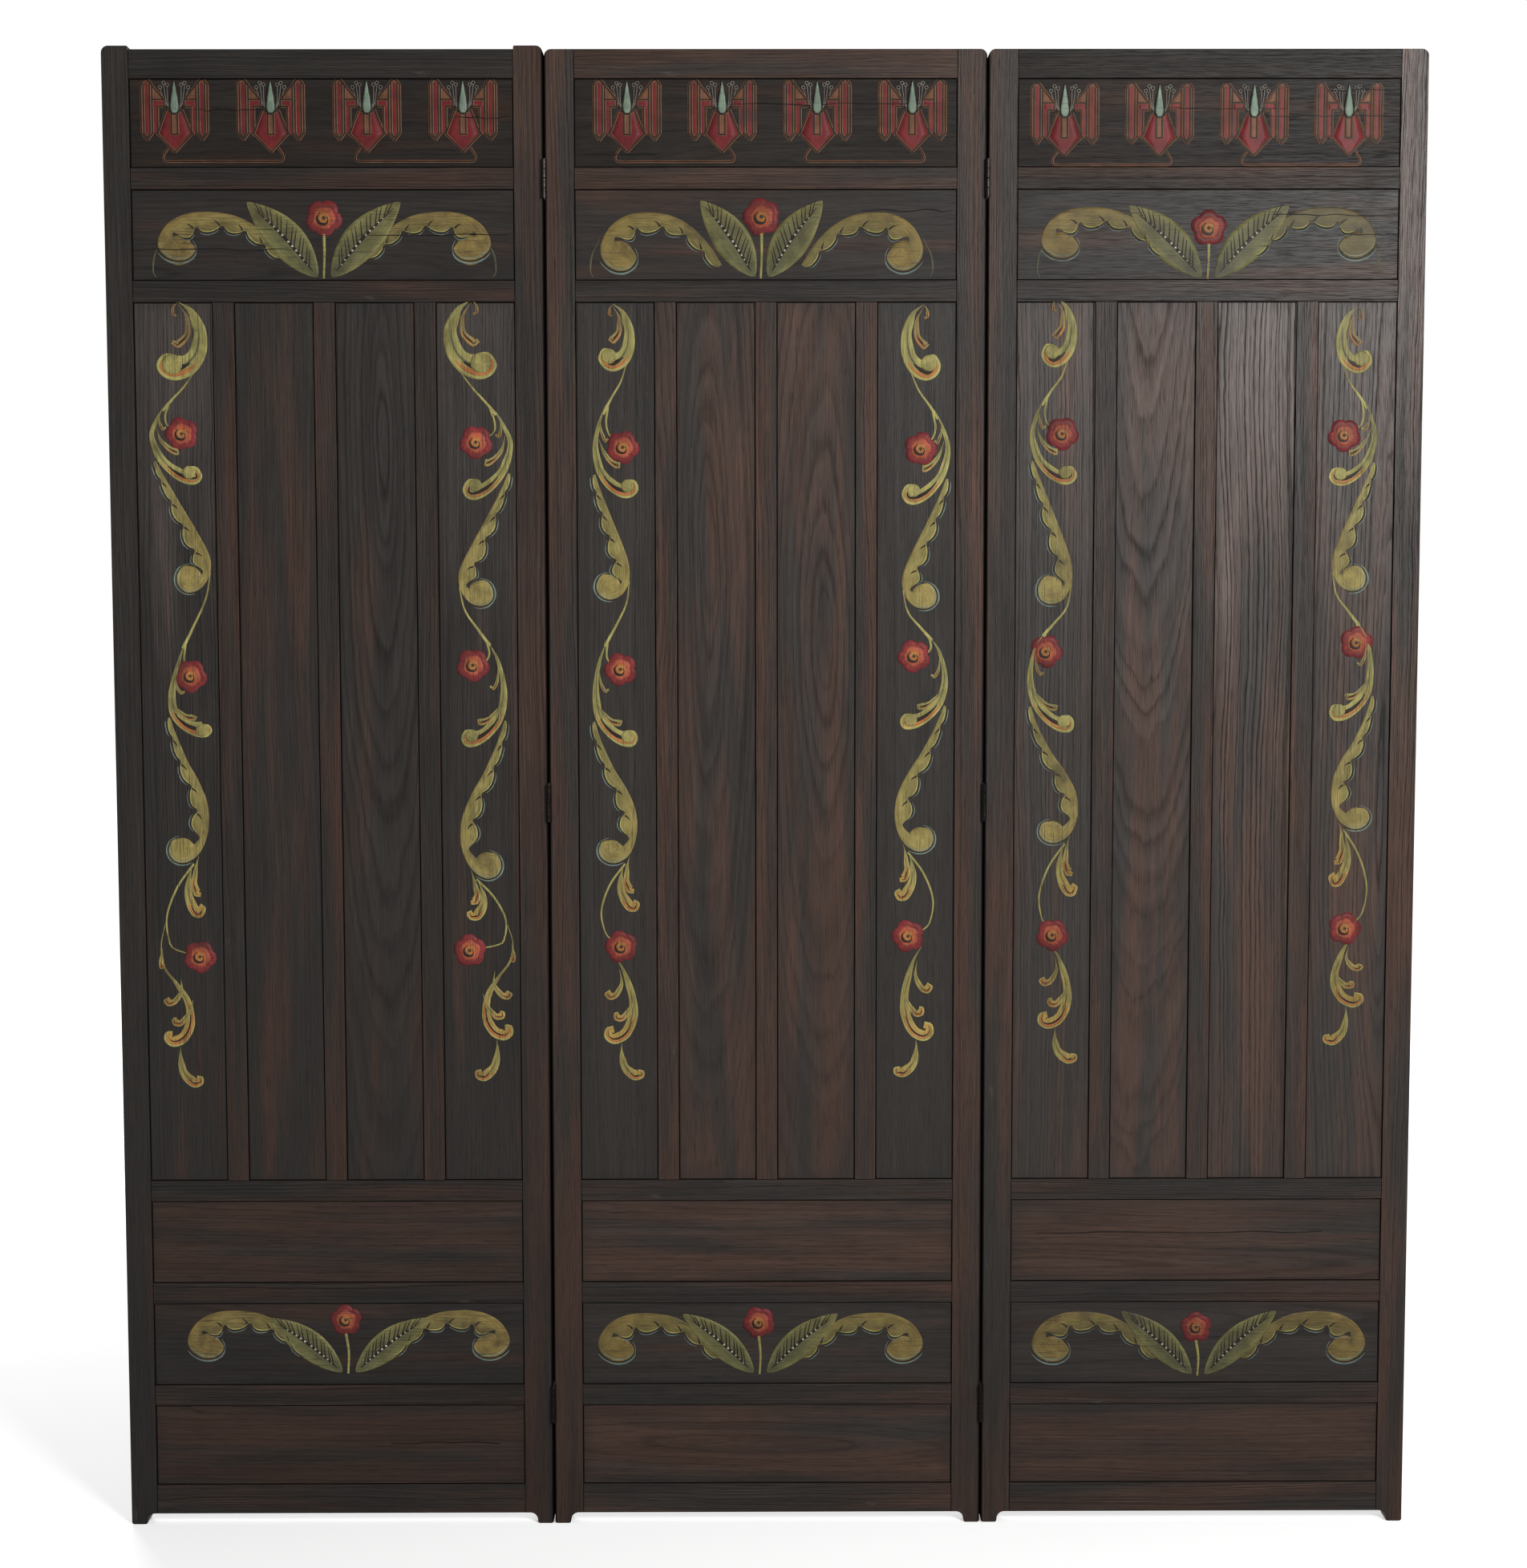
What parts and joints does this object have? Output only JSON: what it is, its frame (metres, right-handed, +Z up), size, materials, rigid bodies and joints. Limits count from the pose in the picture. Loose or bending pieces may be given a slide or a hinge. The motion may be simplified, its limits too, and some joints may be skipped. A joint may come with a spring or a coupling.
{
  "type": "folding screen",
  "caption": "Free-standing wooden folding screen: framed leaves with grooved-in painted boards, hung on double-acting hinges so that each side leaf folds forward or back.",
  "frame": {"origin": "middle of the screen on the floor, halfway through its thickness", "axes": "+Z up, -Y towards the painted front, +X to the viewer's right when facing the front"},
  "size_m": [1.5186, 0.0374, 1.734],
  "materials": {
    "frame_wood": "dark stained, worn satin",
    "plain_boards": "dark stained, worn satin",
    "painted_boards": "dark stained, with hand-painted scrolls and rosettes",
    "hinge_iron": "blackened, satin",
    "hinge_pins": "blackened, worn bright"
  },
  "bodies": {
    "middle_panel": {"middle_stile_left": "frame_wood", "middle_stile_right": "frame_wood", "middle_top_rail": "frame_wood", "middle_frieze_rail": "frame_wood", "middle_crest_rail": "frame_wood", "middle_middle_rail": "frame_wood", "middle_base_rail_upper": "frame_wood", "middle_base_rail_lower": "frame_wood", "middle_bottom_rail": "frame_wood", "middle_muntins": "frame_wood", "middle_tall_boards": "painted_boards", "middle_frieze_board": "painted_boards", "middle_crest_board": "painted_boards", "middle_base_board_upper": "plain_boards", "middle_base_board_painted": "painted_boards", "middle_base_board_lower": "plain_boards", "left_hinge_inner_leaves": "hinge_iron", "left_hinge_inner_pins": "hinge_pins", "right_hinge_inner_leaves": "hinge_iron", "right_hinge_inner_pins": "hinge_pins"},
    "left_panel": {"left_stile_left": "frame_wood", "left_stile_right": "frame_wood", "left_top_rail": "frame_wood", "left_frieze_rail": "frame_wood", "left_crest_rail": "frame_wood", "left_middle_rail": "frame_wood", "left_base_rail_upper": "frame_wood", "left_base_rail_lower": "frame_wood", "left_bottom_rail": "frame_wood", "left_muntins": "frame_wood", "left_tall_boards": "painted_boards", "left_frieze_board": "painted_boards", "left_crest_board": "painted_boards", "left_base_board_upper": "plain_boards", "left_base_board_painted": "painted_boards", "left_base_board_lower": "plain_boards", "left_hinge_outer_leaves": "hinge_iron", "left_hinge_outer_pins": "hinge_pins"},
    "right_panel": {"right_stile_left": "frame_wood", "right_stile_right": "frame_wood", "right_top_rail": "frame_wood", "right_frieze_rail": "frame_wood", "right_crest_rail": "frame_wood", "right_middle_rail": "frame_wood", "right_base_rail_upper": "frame_wood", "right_base_rail_lower": "frame_wood", "right_bottom_rail": "frame_wood", "right_muntins": "frame_wood", "right_tall_boards": "painted_boards", "right_frieze_board": "painted_boards", "right_crest_board": "painted_boards", "right_base_board_upper": "plain_boards", "right_base_board_painted": "painted_boards", "right_base_board_lower": "plain_boards", "right_hinge_outer_leaves": "hinge_iron", "right_hinge_outer_pins": "hinge_pins"},
    "left_upper_links": {"left_hinge_upper_links": "hinge_iron"},
    "left_lower_links": {"left_hinge_lower_links": "hinge_iron"},
    "right_upper_links": {"right_hinge_upper_links": "hinge_iron"},
    "right_lower_links": {"right_hinge_lower_links": "hinge_iron"}
  },
  "joints": [
    {"name": "left_fold_forward", "type": "hinge", "parent": "middle_panel", "child": "left_upper_links", "pos_m": [-0.2544, -0.0157, 0], "axis": [0, 0, 1], "range_deg": [0, 180]},
    {"name": "left_fold_back", "type": "hinge", "parent": "left_upper_links", "child": "left_panel", "pos_m": [-0.2544, 0.0157, 0], "axis": [0, 0, 1], "range_deg": [-90, 0]},
    {"name": "left_lower_link_swing", "type": "hinge", "parent": "middle_panel", "child": "left_lower_links", "pos_m": [-0.2544, 0.0157, 0], "axis": [0, 0, 1], "range_deg": [-90, 0]},
    {"name": "right_fold_forward", "type": "hinge", "parent": "middle_panel", "child": "right_lower_links", "pos_m": [0.2544, -0.0157, 0], "axis": [0, 0, 1], "range_deg": [-90, 0]},
    {"name": "right_fold_back", "type": "hinge", "parent": "right_lower_links", "child": "right_panel", "pos_m": [0.2544, 0.0157, 0], "axis": [0, 0, 1], "range_deg": [0, 180]},
    {"name": "right_upper_link_swing", "type": "hinge", "parent": "middle_panel", "child": "right_upper_links", "pos_m": [0.2544, 0.0157, 0], "axis": [0, 0, 1], "range_deg": [0, 180]}
  ],
  "couplings": [
    {"joint": "left_lower_link_swing", "follows": "left_fold_back", "ratio": 1},
    {"joint": "right_upper_link_swing", "follows": "right_fold_back", "ratio": 1}
  ]
}
